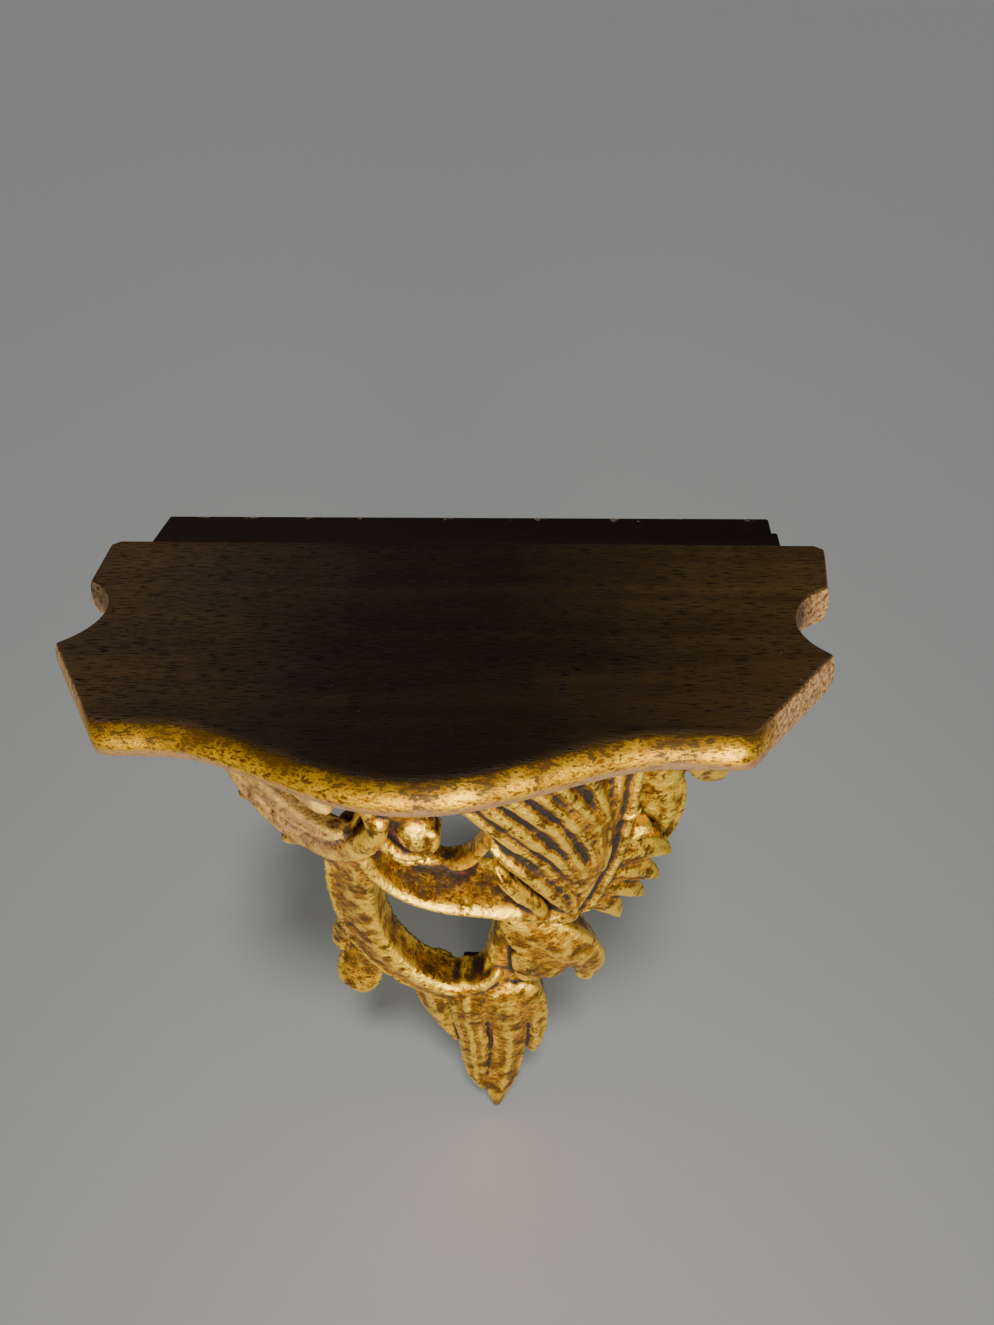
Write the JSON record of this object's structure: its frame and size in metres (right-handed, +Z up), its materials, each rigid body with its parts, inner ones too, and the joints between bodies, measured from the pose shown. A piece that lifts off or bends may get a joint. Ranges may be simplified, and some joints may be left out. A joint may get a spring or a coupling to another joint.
{
  "type": "carved wall bracket",
  "caption": "Carved and gilded openwork wood bracket with a shaped walnut shelf, a serpentine front nose and a flat rail that meets the wall.",
  "frame": {"origin": "middle of the wall rail's back face, where the bracket meets the wall", "axes": "+Z up, +Y into the wall, +X to the right seen from the room"},
  "size_m": [0.3222, 0.1988, 0.387],
  "materials": {
    "shelf_board": "dark stained top with a worn gilded nose",
    "wall_rail": "dark stained, worn at the edges",
    "carved_body": "burnished gilding over red bole, rubbed and dirty in the hollows"
  },
  "bodies": {
    "root": {"shelf_board": "shelf_board", "wall_rail": "wall_rail", "carved_body": "carved_body"}
  },
  "joints": []
}
